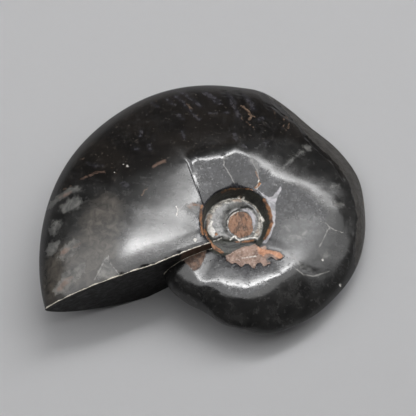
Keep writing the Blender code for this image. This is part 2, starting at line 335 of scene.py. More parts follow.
def lip_share(place, row_turn, share):
    """How much of the lip's height a point of the facet or the flank has. The lip follows the rows."""
    if place is upper_facet:
        return share**0.6
    if place is upper_flank:
        width = keel_radius(row_turn) - read_table(UPPER_STATIONS, row_turn)[0]
        reach = np.interp(row_turn, *LIP_REACH)
        return np.maximum(0, 1 - share * width / reach) ** 2
    return 0 * share


def drop_share(place, share):
    """How much of the rim's drop a point of the wall or the facet has. It follows the rows too."""
    if place is upper_wall:
        return share
    if place is upper_facet:
        return 1 - share
    return 0 * share


def block_points(rows, place, shares):
    """(rows x columns x 3) points of one block of the grid."""
    row_turn = np.repeat(rows[:, None], len(shares), axis=1)
    share = shares[None, :]
    turn = row_turn
    for _ in range(SETTLING_STEPS):
        radius, height = place(turn, share)
        turn = turn_at(row_turn, radius, height)
    height = height + read_table(LIP_STATIONS, row_turn)[0] * lip_share(place, row_turn, share)
    height = height + read_table(RIM_DROP, row_turn)[0] * drop_share(place, share)
    along_x, along_y = direction(turn)
    return np.stack((radius * along_x, radius * along_y, height), axis=2)


def smooth_across(points):
    """Evens out the profiles: each pass moves a point towards the middle of its neighbours in its row."""
    for _ in range(RIM_PASSES):
        middle = (points[:, :-2] + points[:, 2:]) / 2
        points[:, 1:-1] += (middle - points[:, 1:-1]) / 2


def round_shoulder(points, rows, names):
    """Evens out the heights over the shoulder with a bell curve as wide as the rounding there."""
    facet = np.flatnonzero(names == "upper_facet")
    flank = np.flatnonzero(names == "upper_flank")
    span = np.arange(facet[0] - 1, flank[-1] + 1)
    corner = facet[-1] - span[0]
    bell = np.exp(-(ROUNDING_SAMPLES**2) / 2)
    for i, row in enumerate(rows):
        profile = points[i, span]
        along = np.append(0, np.cumsum(np.linalg.norm(np.diff(profile[:, :2], axis=0), axis=1)))
        rounding = read_table(ROUNDING_STATIONS, row)[0]
        samples = along[:, None] + ROUNDING_SAMPLES * rounding
        inner_slope = (profile[1, 2] - profile[0, 2]) / along[1]
        heights = np.interp(samples, along, profile[:, 2]) + np.minimum(samples, 0) * inner_slope
        evened = heights @ bell / bell.sum()
        reach = min(ROUNDING_REACH * rounding, along[corner])
        weight = smooth_step(reach, ROUNDING_FULL * reach, np.abs(along - along[corner]))
        points[i, span, 2] += (evened - profile[:, 2]) * weight


def distance(points, a, b):
    """How far plan points are from the straight stretch between two places."""
    edge = b - a
    share = np.clip(((points - a) @ edge) / (edge @ edge), 0, 1)
    return np.linalg.norm(points - a - share[:, None] * edge, axis=1)


def polygon_depth(points, outline):
    """Signed distance from plan points to an outline, positive inside."""
    x, y = points.T
    corners = np.array(outline)
    nearest = np.full(len(points), np.inf)
    inside = np.zeros(len(points), bool)
    for a, b in zip(corners, np.roll(corners, -1, axis=0)):
        nearest = np.minimum(nearest, distance(points, a, b))
        if a[1] != b[1]:
            crosses = (a[1] > y) != (b[1] > y)
            inside ^= crosses & (x < a[0] + (y - a[1]) * (b - a)[0] / (b - a)[1])
    return np.where(inside, nearest, -nearest)


def line_depth(points, line, half_width):
    """How far inside a line of this half width the plan points are."""
    corners = np.array(line)
    return half_width - np.minimum.reduce([distance(points, a, b) for a, b in zip(corners, corners[1:])])


def beside_lines(points, lines):
    """How far plan points are to the left of the nearest line's course, and how far from it."""
    x, y = points.T
    nearest = np.full(len(points), np.inf)
    left = np.full(len(points), FAR)
    for line in lines:
        corners = np.array(line)
        for a, b in zip(corners, corners[1:]):
            apart = distance(points, a, b)
            side = np.sign((b - a)[0] * (y - a[1]) - (b - a)[1] * (x - a[0]))
            left = np.where(apart < nearest, side * apart, left)
            nearest = np.minimum(nearest, apart)
    return left, nearest


# ---- the marks, in plan

# A patch is its outline, a line its half width and then its course, a spot its place and its radius
RUST_PATCH = (
    (-2.3, -7.7), (-0.7, -6.6), (0.2, -6), (1.5, -5.3), (4.2, -4.6), (5.1, -5.7), (6.3, -5.2), (6.7, -6.1),
    (8.9, -6.6), (10.3, -7.6), (9.4, -8.4), (8.5, -8.5), (7.5, -7.8), (6.7, -8.5), (7.4, -9.3), (5.8, -10.1),
    (5.2, -9), (4.4, -9.5), (3.9, -10.6), (3.2, -10.2), (2.6, -9.5), (1.8, -9.5), (1.1, -10.4), (-0.1, -9.3),
    (-1.1, -9.6), (-2.1, -8.6),
)
RUST_BRIGHT = (
    (4.6, -5.4), (5.1, -4.6), (6.1, -4.9), (5.6, -5.8), (6.7, -6.2), (8.2, -6.5), (9.5, -6.9), (10.1, -7.6),
    (9.5, -8.3), (8.4, -7.8), (7.1, -6.9), (5.8, -7.6), (5, -7.2),
)
RUST_HOLE = ((6.3, -8.3), (7.1, -7.6), (7.8, -8.1), (7.3, -9), (6.7, -9.2))
RUST_LINES = (
    (0.28, (-8, 1.9), (-8.2, -1.1), (-7.8, -4.6)),
    (0.36, (-6.9, -2), (-6.3, -3.6), (-5.4, -4.9), (-4.3, -5.9), (-2.9, -6.8)),
    (0.3, (5.9, 4.8), (7.1, 2.5), (7.6, -0.3), (7, -2.2), (6.2, -3.6)),
    (0.07, (-3.5, 5.9), (-1.5, 6.8), (0.5, 7.1), (2.6, 7), (4.4, 6.5)), (0.25, (4, 7.3), (4.9, 8.3)),
    (0.1, (-10.6, 1.1), (-9.7, 1.9), (-8.6, 1.8)), (0.08, (3.9, 11), (4.8, 9)),
    (0.14, (-0.2, -4.15), (1.1, -4.2), (2.6, -4), (4.1, -3.75)), (0.3, (-4.5, -2.9), (-4.3, -2.9)),
)
FLECK_LINES = (
    (0.5, (1.3, 27.6), (2.2, 26.8), (3.2, 25), (3, 23.8)), (0.3, (3, 25.2), (4.4, 24.8)),
    (0.2, (2.7, 23.2), (3.6, 22.2), (4, 21.2)), (0.3, (8.4, 28), (9, 26.4), (8.8, 25.2)),
    (0.28, (11, 26), (11.7, 26.5), (12.1, 25.4), (12, 23.6), (11.2, 22.1), (10.8, 23.1), (11, 26)),
    (0.2, (-11.5, 28.4), (-10.5, 27.5), (-9.2, 25.2), (-8.6, 23.8)),
    (0.2, (-17.8, 29.3), (-17.5, 28), (-17.1, 26.7)), (0.35, (-11.7, 28.4), (-11.1, 27.8), (-10.3, 26.1)),
    (0.2, (-27.4, 10.3), (-26.6, 8.7)), (0.35, (-37.4, 6.3), (-36.2, 6.5), (-35.2, 6.5)),
    (0.3, (0.9, 24.1), (2.7, 22.7), (4, 21.5)), (0.3, (-34.6, 13.4), (-33.3, 13.6)),
    (0.3, (-21, 3.3), (-20.4, 4.5), (-19.8, 5)),
)
STROKE_LINES = (
    (0.45, (-12, 31.4), (-10.4, 29.7), (-9.1, 28.2), (-7.8, 27)),
    (0.4, (-13.2, 30), (-11.5, 27.8), (-10.3, 25.8), (-9.1, 23.8), (-8.4, 23.3)),
    (0.7, (-6.7, 31.1), (-5.5, 29.9), (-3.8, 28.1)), (0.6, (-2, 31), (-1.2, 29.8), (-0.4, 28)),
    (0.6, (2.3, 30.8), (3.3, 28.7), (4, 26.8)), (0.3, (-6.1, 25.1), (-4.4, 25.1)),
    (0.3, (-2.8, 25.2), (-1.7, 25.2)), (0.3, (-18.5, 28.1), (-17.3, 26.7)),
    (0.35, (-15.4, 29.1), (-13.8, 27.2)), (0.45, (-12.8, 24.3), (-12.1, 23.4)),
    (0.3, (-32.5, 12), (-31, 11.2), (-29.5, 10.8)), (0.25, (-20.9, 20.1), (-21.4, 18.3)),
    (0.35, (-22.3, 15.1), (-21.7, 14.8)), (0.5, (-24.9, 5.9), (-24, 5.4)),
    (0.5, (-0.5, 27.4), (0.1, 25.7), (0.5, 23.8)), (0.4, (-12.2, 19.9), (-11.8, 18)),
    (0.4, (-0.6, 19.6), (-0.4, 18.1)), (0.35, (5, 24.3), (6, 24.8)), (0.35, (-19.5, 16.1), (-19.1, 14.6)),
    (0.3, (6.9, 18.7), (6.4, 17.9)), (0.3, (1.3, 16.7), (2, 16.3)),
)
DARK_LINES = (
    (0.5, (1, 31.7), (1.5, 29.5), (1.8, 27.4)), (0.5, (6.4, 32.6), (7.1, 30.4), (7.6, 28)),
    (0.4, (-2.4, 31.6), (-1.7, 29.1)), (0.4, (10.9, 27.6), (10.3, 28.7), (9.5, 30.1)),
    (
        0.25, (8.4, 28.7), (10.4, 27.1), (11.5, 26.2), (13.8, 25.3), (15.3, 23.2), (15.9, 21.6), (18, 18.9),
        (20.2, 16.8), (21.5, 16), (22.6, 14.1), (23.7, 12.4), (24.3, 11),
    ),
    (0.5, (14.3, -10.2), (15.5, -10.5), (17.3, -10.9)),
)
CALCITE_PATCH = (
    (-6.2, -1.3), (-5.7, -0.5), (-5.3, 0.2), (-5, 0), (-5.3, -0.9), (-4.8, -1.6), (-4.6, -2.3), (-4.6, -3.2),
    (-5, -3.7), (-5.8, -2.9), (-6.2, -2),
)
CALCITE_LINES = (
    (0.14, (-13.7, 1.2), (-13.2, 0.4), (-13.5, -1.1)), (0.06, (4.7, 9.1), (4.2, 7.5)),
    (0.13, (1.3, -8.1), (2.6, -7.9), (4.3, -7.6)),
    (0.13, (-1.8, -0.2), (-1.7, 0.7), (-1.2, 1.5), (-0.4, 2.2), (0.5, 2.7)),
    (
        0.14, (-1.2, -3.9), (-0.7, -3.3), (-0.2, -2.9), (0.2, -3.5), (0.9, -3.9), (1.9, -3.5), (3.3, -3.2),
        (4.6, -3.3),
    ),
    (0.25, (5.6, 1.6), (6, 0.8)), (0.08, (-4.8, -4.3), (-3.9, -4), (-3.1, -3.6)),
)
CALCITE_SPOTS = (
    (-9.5, -6.2, 0.4), (-28.2, 4.1, 0.12), (-27.8, 1.7, 0.1), (-24.1, 10.5, 0.35), (-26.8, 9, 0.15),
    (23.2, -12.4, 0.3), (18.8, -8, 0.25), (1.8, 16.5, 0.1), (0.7, 5.9, 0.3), (1.7, 5.8, 0.25),
    (3.8, -1.8, 0.2), (24.4, -14.2, 0.25),
)
HAZE_PATCHES = (
    ((-38.2, 2.2), (-36.6, 3.3), (-34.9, 3.9), (-33.9, 2.8), (-34, 1.1), (-36.1, 0.5), (-37.8, 0.6)),
    ((-40.1, -3.5), (-39.4, -1.3), (-38.1, -1.2), (-38.1, -3.1), (-39.3, -5.1)),
    ((-40.8, -7.5), (-40.1, -6.3), (-38, -6.3), (-38.4, -8.1), (-40, -9.3)),
    ((-38.3, -9.9), (-37.5, -7.8), (-35.9, -6.7), (-33.9, -6.6), (-33.8, -7.9), (-35.4, -10), (-37.4, -10.9)),
    ((-38.7, 4.9), (-37, 5.9), (-34.5, 6.4), (-34.1, 5.3), (-36.2, 4.5), (-38.2, 3.7)),
    (
        (-38.9, -17.5), (-38.1, -15.2), (-36.6, -13.3), (-34.5, -12.7), (-32.9, -11.6), (-32.8, -13.8),
        (-36.8, -17.9),
    ),
    ((-12.2, 0.9), (-10.6, 1.8), (-8.9, 2), (-8.4, 0.5), (-10, 0), (-11.5, 0.1)),
    (
        (-28.2, -10.9), (-29.9, -14.5), (-30.1, -15.7), (-28.5, -15.9), (-25.5, -14.9), (-26.7, -13.5),
        (-27.7, -12),
    ),
    ((20.9, 9.8), (22.3, 10), (23, 9.7), (21.5, 8.9), (20.6, 9)),
    ((21.4, 5.6), (23.1, 5.8), (24.2, 5.3), (22.8, 4.6), (21.4, 4.8)),
)
HAZE_SPOTS = ((14.4, -2.3, 0.8), (13.6, -3.2, 0.7), (11.9, -3.6, 0.7), (10.9, -1.4, 0.6), (19.6, -7.2, 0.7))
VEIL_PATCH = (
    (-31.5, 1.3), (-28.2, 3.1), (-25.3, 2.1), (-25.4, -3.7), (-26.2, -8.2), (-26.3, -12), (-25.4, -14.2),
    (-29.9, -16.4), (-35.6, -17.9), (-39.2, -18.7), (-40.6, -15.2), (-40.3, -10.3), (-38, -7.7),
    (-33.9, -4.7),
)
BLUSH_PATCHES = (
    ((-37.9, -9.3), (-37.3, -8.1), (-35.9, -8.1), (-36.3, -8.9), (-37.5, -9.8)),
    ((-35.1, -14.4), (-36.3, -14.8), (-37.7, -15.9), (-38.5, -17.2), (-37.4, -17.2), (-36.1, -15.9)),
)
BLUSH_LINES = (
    (0.2, (-35.1, -8), (-33.8, -7.5)), (0.25, (-38.2, 4.4), (-36, 5.2)),
    (0.15, (-33.9, 8.2), (-31, 9.2), (-29, 9.4)), (0.3, (-18.5, 10.5), (-16, 12)),
    (0.25, (-10.9, 1.3), (-9.8, 2.1), (-8.5, 1.9)),
)
HAZE_LINES = (
    (0.35, (-40.3, 3), (-39.1, 4)), (0.5, (3, 13.1), (4.2, 11.9)),
    (0.16, (10.2, 12.4), (12.4, 15), (14.6, 17.1)), (0.7, (16, 18.5), (16.2, 18.7)),
    (0.12, (13.7, -10.2), (14.6, -9.7), (15.9, -10.4)), (0.1, (12.3, -8.2), (13, -9), (13.9, -9.8)),
)
LILAC_PATCHES = (
    (
        (4.2, 7), (5.3, 6.2), (6.7, 5.4), (7.6, 5.4), (8.6, 6.6), (9.5, 8), (9.7, 7.3), (8.9, 5.7),
        (8.4, 3.9), (8.4, 1.7), (8.2, -0.6), (7.5, -2.9), (6.5, -4.7), (5.7, -4.6), (6.8, -2.5), (7.6, -0.2),
        (7.3, 2.5), (6.2, 4.9), (4.9, 6.4),
    ),
    (
        (1.3, 3.2), (2.4, 3.4), (3.3, 3), (4.1, 2.1), (4.4, 1.1), (4.3, 0), (3.9, -1.2), (3.6, -0.5),
        (3.6, 0.9), (3.3, 1.8), (2.6, 2.6), (1.8, 2.8),
    ),
)
CORE_PATCH = (
    (-0.6, 2.3), (0, 2.4), (0.7, 2.6), (1.5, 2.6), (2.4, 2.3), (3.1, 1.6), (3.5, 0.6), (3.7, -0.5),
    (3.7, -1.4), (3.3, -2.3), (2.4, -2.9), (1.3, -3.3), (0.4, -3.2), (-0.4, -2.6), (-1.3, -1.8), (-1.7, -0.9),
    (-1.6, 0.2), (-1.3, 1.3),
)
SPECKLED_LINES = (
    (
        0.55, (-5.9, -1.5), (-5.9, 0.1), (-5.7, 1.7), (-4.6, 3.4), (-3.1, 4.3), (-1.3, 5.1), (0.9, 5.4),
        (3.1, 5.3), (4.6, 4.2), (5.4, 2.8), (5.5, 1.3), (5.4, -0.3), (5, -1.9), (4.4, -3),
    ),
)
FACET_LINE = ((-3.2, 13.8), (-3.1, 11.6), (-2, 10.1), (-0.9, 8.2))
THIN_LINES = (
    ((-28.1, -10.9), (-29, -12.3), (-29.8, -14.2), (-30.5, -15.5)),
    ((-28.1, -10.9), (-27.2, -12.6), (-25.7, -14.6)),
    ((18.6, 0.5), (19.5, 0.3), (20.4, -0.6), (21.8, -1.1), (23.2, -1.3)),
    ((20.4, -0.6), (19.7, -1.8), (18.8, -3.7), (18.1, -5.1)),
    ((13, -10.7), (14.4, -11.6), (16.4, -11.8), (18.2, -11.2), (20.1, -10.3)), ((-3.2, 13.4), (-1.4, 14.4)),
    ((3.3, 12.9), (4.4, 10.8), (4.7, 9.1)), FACET_LINE,
)
THIN_REACH = 0.55  # how far from a thin line its course is read, mm
FACET_TURNS = (74, 330)  # where the shoulder bounds a ground facet
# Seams round the core and at the foot of the wall: dark joints, painted near black also as shade in their
# gaps
SHADED_SEAM_LINES = (
    (0.16, (-2.1, -1.2), (-2, 0.5), (-1.5, 1.6), (-0.6, 2.6), (0.4, 3.1), (1.3, 3.7), (2.6, 3.8), (3.7, 3.3)),
    (0.2, (-4.4, -4.7), (-3.1, -5), (-1.3, -5.5), (0.4, -5.1), (1.5, -4.5), (3.9, -4.35), (5.2, -3.8)),
)
PALE_FILM = (
    (7.9, 1.6), (14.4, 2.2), (17.8, 1.4), (19.9, -0.4), (22.9, -1.6), (23.4, -4.1), (21.8, -8), (20.1, -11.7),
    (17.4, -13.4), (15.2, -10.6), (10.5, -8.6), (7, -6.2), (8.4, -1.5),
)
PALE_CORNER = (
    (-8.2, -8.8), (-4.9, -7.6), (-1.7, -8.9), (-1.9, -11.3), (-4.5, -13.4), (-7.6, -14), (-8.8, -11.6),
)
WORN_EDGE = (
    (6, 33), (9.4, 30.6), (12.2, 27.8), (14.4, 24.6), (17, 21.3), (20, 18.3), (22.8, 15.4), (25.3, 11.4),
    (26.5, 7.1), (27, 2.5), (26.6, -2.1), (26.2, -6), (27.5, -9), (36, -8), (36, 20), (20, 36),
)
MATRIX_PATCH = (
    (-11.6, -9.2), (-9.6, -8.1), (-7.4, -6.9), (-6.4, -6.4), (-6.7, -8.2), (-8, -11.1), (-9.3, -11.8),
    (-10.8, -10),
)
DARK_BAND = (
    (-45, 4), (-38.3, 6.3), (-33.1, 7.6), (-26.1, 6.4), (-19.3, 9), (-12.8, 12.9), (-8.4, 15.1), (0.5, 17.6),
    (14.1, 19.8), (20.8, 15.1), (24.2, 12), (40, 12), (40, 45), (-45, 45),
)
FAR = -9.0  # the depth of a mark's attribute away from all marks
EARTH_LOWEST = -2.5  # how far down the cut the earth reaches
EARTH_ON_CUT = 0.8  # how much wider it lies there
WORN_BELOW = 1  # how much narrower the worn band is on the underside
BAND_BELOW = 1.5  # the depth of the dark band there
CREST_MARGIN = 0.35  # how far outside the crest the painted shade of the hollow begins


def marks_depth(plan, patches=(), lines=(), spots=()):
    """How far inside the deepest of these patches, lines and spots each plan point is."""
    depths = [polygon_depth(plan, outline) for outline in patches]
    depths += [line_depth(plan, line, half_width) for half_width, *line in lines]
    depths += [radius - np.linalg.norm(plan - centre, axis=1) for *centre, radius in spots]
    return np.maximum.reduce(depths)


# Each mark's attribute: its patches, its lines and its spots
UPPER_MARKS = {
    "rust": ((RUST_PATCH,), RUST_LINES),
    "rust_patch": ((RUST_PATCH,),),
    "rust_bright": ((RUST_BRIGHT,),),
    "rust_hole": ((RUST_HOLE,),),
    "blush": (BLUSH_PATCHES, BLUSH_LINES),
    "veil": ((VEIL_PATCH,),),
    "dark": ((), DARK_LINES),
    "stroke": ((), STROKE_LINES),
    "fleck": ((), FLECK_LINES),
    "calcite": ((CALCITE_PATCH,), CALCITE_LINES, CALCITE_SPOTS),
    "haze": (HAZE_PATCHES, HAZE_LINES, HAZE_SPOTS),
    "lilac": (LILAC_PATCHES,),
    "film": ((PALE_FILM, PALE_CORNER),),
}
PIT_MARKS = {"core": ((CORE_PATCH,),), "speckle": ((), SPECKLED_LINES), "seam": ((), SHADED_SEAM_LINES)}


# ---- the mesh


def shell_points():
    """The grid of points in the shell's frame, and the name of each column's block."""
    rows = row_turns()
    blocks = grid_blocks()
    points = np.concatenate([block_points(rows, place, shares) for place, shares in blocks], axis=1)
    names = np.concatenate([[place.__name__] * len(shares) for place, shares in blocks])
    round_shoulder(points, rows, names)
    smooth_across(points)
    return points, names


def noise_of(points, wavelength, seed):
    """Smooth noise between about -1 and 1 at points."""
    offset = Vector((seed * 17.3, seed * 5.1, seed * 9.7))
    return np.array([noise.noise(Vector(p) / wavelength + offset) for p in points])


def shell_mesh():
    """Points, faces, marks and the cut's first face. The poles and the cut's points follow the grid's."""
    grid, names = shell_points()
    count, width = grid.shape[:2]
    points = grid.reshape(-1, 3)
    index = np.arange(count * width).reshape(count, width)
    in_pit = np.isin(names, ("upper_pit", "lower_pit"))
    index[-1, in_pit] = index[0, in_pit]
    top = len(points)
    bottom = top + 1
    points = np.vstack((points, points[index[:-1, 0]].mean(axis=0), points[index[:-1, -1]].mean(axis=0)))

    faces = []
    for a, b in zip(index, index[1:]):
        faces.append((top, a[0], b[0]))
        faces.append((bottom, b[-1], a[-1]))
        faces.extend(zip(a[:-1].tolist(), a[1:].tolist(), b[1:].tolist(), b[:-1].tolist()))

    whorl = np.flatnonzero(~in_pit)
    outer = index[0, whorl]
    inner = index[-1, whorl]
    lines = [outer]
    for k in range(1, FACE_ROWS):
        lines.append(np.arange(len(points), len(points) + len(whorl)))
        points = np.vstack((points, points[outer] + (points[inner] - points[outer]) * k / FACE_ROWS))
    lines.append(inner)
    cut_start = len(faces)
    first_pit, last_pit = index[0, whorl[0] - 1], index[0, whorl[-1] + 1]
    for a, b in zip(lines, lines[1:]):
        faces.append((first_pit, b[0], a[0]))
        faces.append((last_pit, a[-1], b[-1]))
        faces.extend(zip(a[:-1].tolist(), b[:-1].tolist(), b[1:].tolist(), a[1:].tolist()))

    def lying_in(*blocks):
        return np.append(np.tile(np.isin(names, blocks), count), np.zeros(len(points) - top, bool))

    above = lying_in("upper_pit", "upper_wall", "upper_facet", "upper_flank")
    above[top] = True
    pit = lying_in("upper_pit", "lower_pit")
    pit[[top, bottom]] = True
    face = np.arange(len(points)) > bottom
    marks = mark_depths(points, above, pit, lying_in("upper_wall", "lower_wall"), face, outer)
    return carve(points, marks, above, face), faces, marks, cut_start


def mark_depths(points, above, pit, wall, face, outer):
    """The point attributes that the material reads: how far inside each kind of mark a point is."""
    plan = points[:, :2]
    x, y, z = points.T
    smooth = above & ~pit
    marks = {}
    for where, groups in ((above, UPPER_MARKS), (pit, PIT_MARKS)):
        for name, shapes in groups.items():
            marks[name] = np.where(where, marks_depth(plan, *shapes), FAR)
    near = smooth | face & (z > EARTH_LOWEST)
    marks["matrix"] = np.where(near, polygon_depth(plan, MATRIX_PATCH) + EARTH_ON_CUT * face, FAR)
    worn = polygon_depth(plan, WORN_EDGE)
    marks["worn"] = np.where(above, worn, np.where(face, FAR, worn - WORN_BELOW))
    marks["band"] = np.where(smooth, polygon_depth(plan, DARK_BAND), np.where(face, FAR, BAND_BELOW))
    upper_edge = plan[outer][z[outer] > 0]
    marks["chip"] = np.where(smooth, line_depth(plan, upper_edge[::3], 0), FAR)
    low, high = FACET_TURNS
    corners = [radius * np.array(direction(turn)) for turn, radius, *_ in UPPER_STATIONS if low < turn < high]
    marks["facet"] = np.where(smooth, polygon_depth(plan, corners), FAR)
    left, nearest = beside_lines(plan, THIN_LINES)
    marks["thin"] = np.where(smooth, left, FAR)
    marks["thin_near"] = np.where(smooth, THIN_REACH - nearest, FAR)
    marks["pit"] = np.where(pit, 1, 0)
    marks["keel"] = np.where(face | pit, FAR, -np.abs(z))
    # Where the umbilicus gets its green-black tone and painted shade:
    # 1 on the wall of the umbilicus, and in the pit how far outside the inner whorls' crest a point is
    turn = TIP_ANGLE - np.degrees(np.arctan2(y, x))
    outside = np.hypot(x, y) - crest_radius(turn) - CREST_MARGIN
    marks["shaded_hollow"] = np.where(wall, 1, np.where(pit, outside, FAR))
    return marks


def carve(points, marks, above, face):
    """The relief of the marks and of the hand polish, as small moves up and down."""
    rough = noise_of(points, 0.9, 1)
    lift = -smooth_step(-0.15, 0.25, marks["rust"]) * (0.12 + 0.1 * rough)
    matrix = smooth_step(-0.1, 0.4, np.maximum(marks["matrix"], marks["core"]))
    lift += matrix * 0.12 * noise_of(points, 0.7, 2)
    lift += smooth_step(-0.1, 0.3, np.maximum(marks["calcite"], marks["speckle"])) * 0.08 * rough
    lift -= smooth_step(-0.15, 0.15, marks["seam"]) * 0.15
    lift -= smooth_step(-0.4, 0.2, marks["dark"]) * (0.06 + 0.14 * np.maximum(0, rough))
    pits = np.maximum(0, noise_of(points, 1.6, 3))
    worn_rim = bump(marks["worn"], 1, 1.2)
    lift -= smooth_step(-0.4, 0.3, marks["worn"]) * (0.04 + 0.08 * pits) + worn_rim * 0.3 * pits**2
    chips = smooth_step(-0.9, 0, marks["chip"])
    lift -= chips * (0.12 + 0.3 * np.maximum(0, noise_of(points, 1.5, 4)))
    lift += np.where(above, bump(line_depth(points[:, :2], FACET_LINE, 0), 0.1, 0.4), 0)
    polish = 0.02 * noise_of(points, 7, 5) + 0.01 * noise_of(points, 3, 6)
    lift += polish * (1 - marks["pit"])
    carved = points.copy()
    carved[:, 2] += np.where(above, lift, lift * np.sign(points[:, 2])) * ~face
    return carved


def shell_to_row(points):
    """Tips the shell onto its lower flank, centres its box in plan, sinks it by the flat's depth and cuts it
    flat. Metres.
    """
    turning = Vector(UP_DIRECTION).rotation_difference(Vector((0, 0, 1))).to_matrix()
    placed = points @ np.array(turning).T
    low, high = placed.min(axis=0), placed.max(axis=0)
    middle = (low + high) / 2
    placed -= (middle[0], middle[1], low[2] + FLAT_DEPTH)
    placed[:, 2] = np.maximum(placed[:, 2], 0)
    return placed * MM


def add_object(name, data):
    made = bpy.data.objects.new(name, data)
    bpy.context.scene.collection.objects.link(made)
    return made


def build_shell():
    points, faces, marks, cut_start = shell_mesh()
    mesh = bpy.data.meshes.new("ammonite_shell")
    mesh.from_pydata(shell_to_row(points).tolist(), [], faces)
    mesh.shade_smooth()
    mesh.polygons.foreach_set("material_index", (np.arange(len(faces)) >= cut_start).astype(np.int32))
    mesh.set_sharp_from_angle(angle=math.radians(SHARP_ANGLE))
    for name, depth in marks.items():
        attribute = mesh.attributes.new(name, "FLOAT", "POINT")
        attribute.data.foreach_set("value", depth.astype(np.float32))
    return add_object("ammonite_shell", mesh)


# ---- the material


class Graph:
    """Short calls for the nodes of a material or a light. A socket takes a value or another's output."""

    def __init__(self, owner):
        owner.use_nodes = True
        self.owner = owner
        self.tree = owner.node_tree

    def node(self, kind, inputs=None, **settings):
        made = self.tree.nodes.new("ShaderNode" + kind)
        for key, value in settings.items():
            setattr(made, key, value)
        for key, value in (inputs or {}).items():
            self.feed(made.inputs[key], value)
        return made

    def feed(self, socket, value):
        if isinstance(value, bpy.types.NodeSocket):
            self.tree.links.new(value, socket)
        else:
            socket.default_value = value

    def math(self, operation, *values):
        return self.node("Math", dict(enumerate(values)), operation=operation).outputs[0]

    def vector(self, operation, *values):
        made = self.node("VectorMath", dict(enumerate(values)), operation=operation)
        return made.outputs["Value" if operation == "DOT_PRODUCT" else "Vector"]

    def part(self, share, amount):
        return self.math("MULTIPLY", share, amount)

    def centred(self, value):
        return self.math("SUBTRACT", value, 0.5)

    def most(self, first, *others):
        for other in others:
            first = self.math("MAXIMUM", first, other)
        return first

    def step(self, value, low, high, start=0, end=1):
        """Smooth step of a value from start at low to end at high."""
        inputs = dict(enumerate((value, low, high, start, end)))
        return self.node("MapRange", inputs, interpolation_type="SMOOTHSTEP").outputs[0]

    def mix(self, share, a, b):
        """Colour a where the share is 0 and b where it is 1."""
        return self.node("Mix", {0: share, 6: colour(a), 7: colour(b)}, data_type="RGBA").outputs[2]

    def toned(self, value, low, high, a, b, amount=None):
        """Colour a where the value is low, and where it is high colour b, or this amount of it."""
        share = self.step(value, low, high)
        return self.mix(share if amount is None else self.part(share, amount), a, b)

    def blend(self, share, a, b):
        """Number a where the share is 0 and b where it is 1."""
        return self.node("Mix", {0: share, 2: a, 3: b}, data_type="FLOAT").outputs[0]

    def attribute(self, name):
        return self.node("Attribute", attribute_name=name).outputs["Fac"]

    def noise(self, wavelength, detail=3, roughness=0.55, distortion=0, moved=None, drawn=None):
        """Noise from 0 to 1, with its wavelength in mm. It is moved by metres, or drawn out by factors."""
        place = self.place
        if moved:
            place = self.vector("ADD", place, moved)
        if drawn:
            place = self.vector("MULTIPLY", place, drawn)
        inputs = {"Vector": place, "Scale": 1 / (wavelength * MM), "Detail": detail}
        inputs |= {"Roughness": roughness, "Distortion": distortion}
        return self.node("TexNoise", inputs).outputs[0]

    def relief(self, height):
        return self.node("Bump", {"Strength": 1, "Distance": MM, "Height": height}).outputs[0]

    def surface(self, inputs):
        """The material, with these values of its shader."""
        shader = self.node("BsdfPrincipled", inputs)
        self.node("OutputMaterial", {"Surface": shader.outputs[0]})
        return self.owner


def material_graph(name):
    g = Graph(bpy.data.materials.new(name))
    g.tree.nodes.clear()
    g.place = g.node("TexCoord").outputs["Object"]
    return g


def colour(value):
    """A colour socket's value from three numbers, or from one for a gray."""
    if isinstance(value, float):
        value = (value, value, value)
    return (*value, 1) if isinstance(value, tuple) else value


